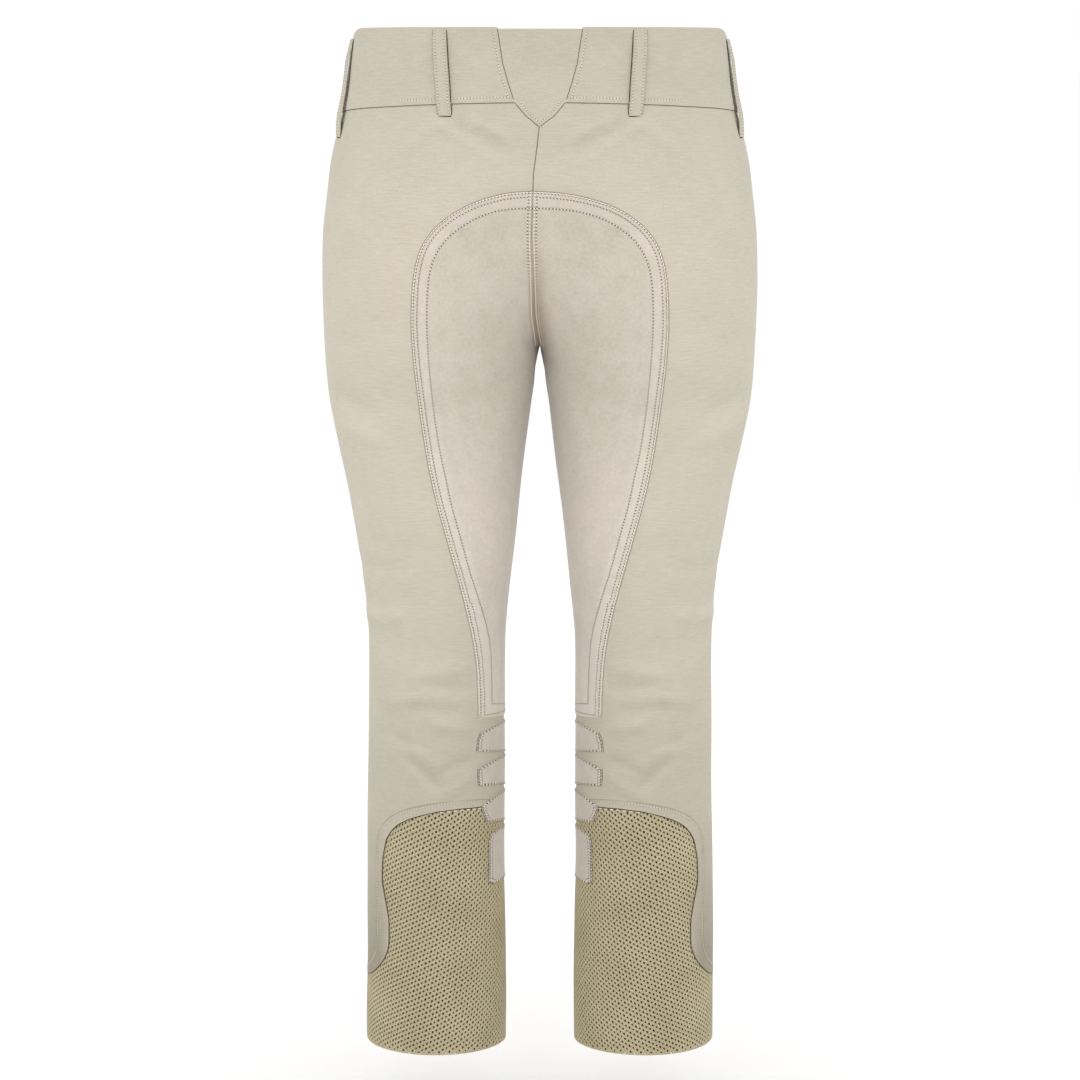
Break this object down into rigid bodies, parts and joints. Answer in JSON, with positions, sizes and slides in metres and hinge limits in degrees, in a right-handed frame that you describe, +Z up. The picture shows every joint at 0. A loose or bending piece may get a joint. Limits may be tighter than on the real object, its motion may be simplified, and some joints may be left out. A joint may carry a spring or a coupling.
{
  "type": "riding breeches",
  "caption": "Full-seat riding breeches, hollow as worn: twill body, suede-like seat and calf grips, perforated calf tubes, waistband with a back yoke, belt loops, buttoned fly.",
  "frame": {"origin": "centre of the waistband's ring, where the wearer's waist holds the garment up", "axes": "+Z up the body, -Y out of the seat, +X towards the wearer's right; the back faces -Y"},
  "size_m": [0.4068, 0.2576, 0.9785],
  "materials": {
    "twill": "matte stretch twill",
    "suede": "brushed suede-like patch",
    "perforated": "perforated stretch fabric",
    "button": "satin, horn-coloured"
  },
  "bodies": {
    "root": {"back_left": "twill", "back_right": "twill", "front_left": "twill", "front_right": "twill", "band_back_left": "twill", "band_back_right": "twill", "band_front_left": "twill", "band_front_right": "twill", "loop_back_left": "twill", "loop_back_right": "twill", "loop_side_left": "twill", "loop_side_right": "twill", "loop_front_left": "twill", "loop_front_right": "twill", "yoke_back": "twill", "fly_placket": "twill", "band_tab": "twill", "seat_left": "suede", "seat_right": "suede", "grip_1_left": "suede", "grip_1_right": "suede", "grip_2_left": "suede", "grip_2_right": "suede", "grip_3_left": "suede", "grip_3_right": "suede", "grip_4_left": "suede", "grip_4_right": "suede", "calf_left": "perforated", "calf_right": "perforated", "band_button": "button"}
  },
  "joints": []
}
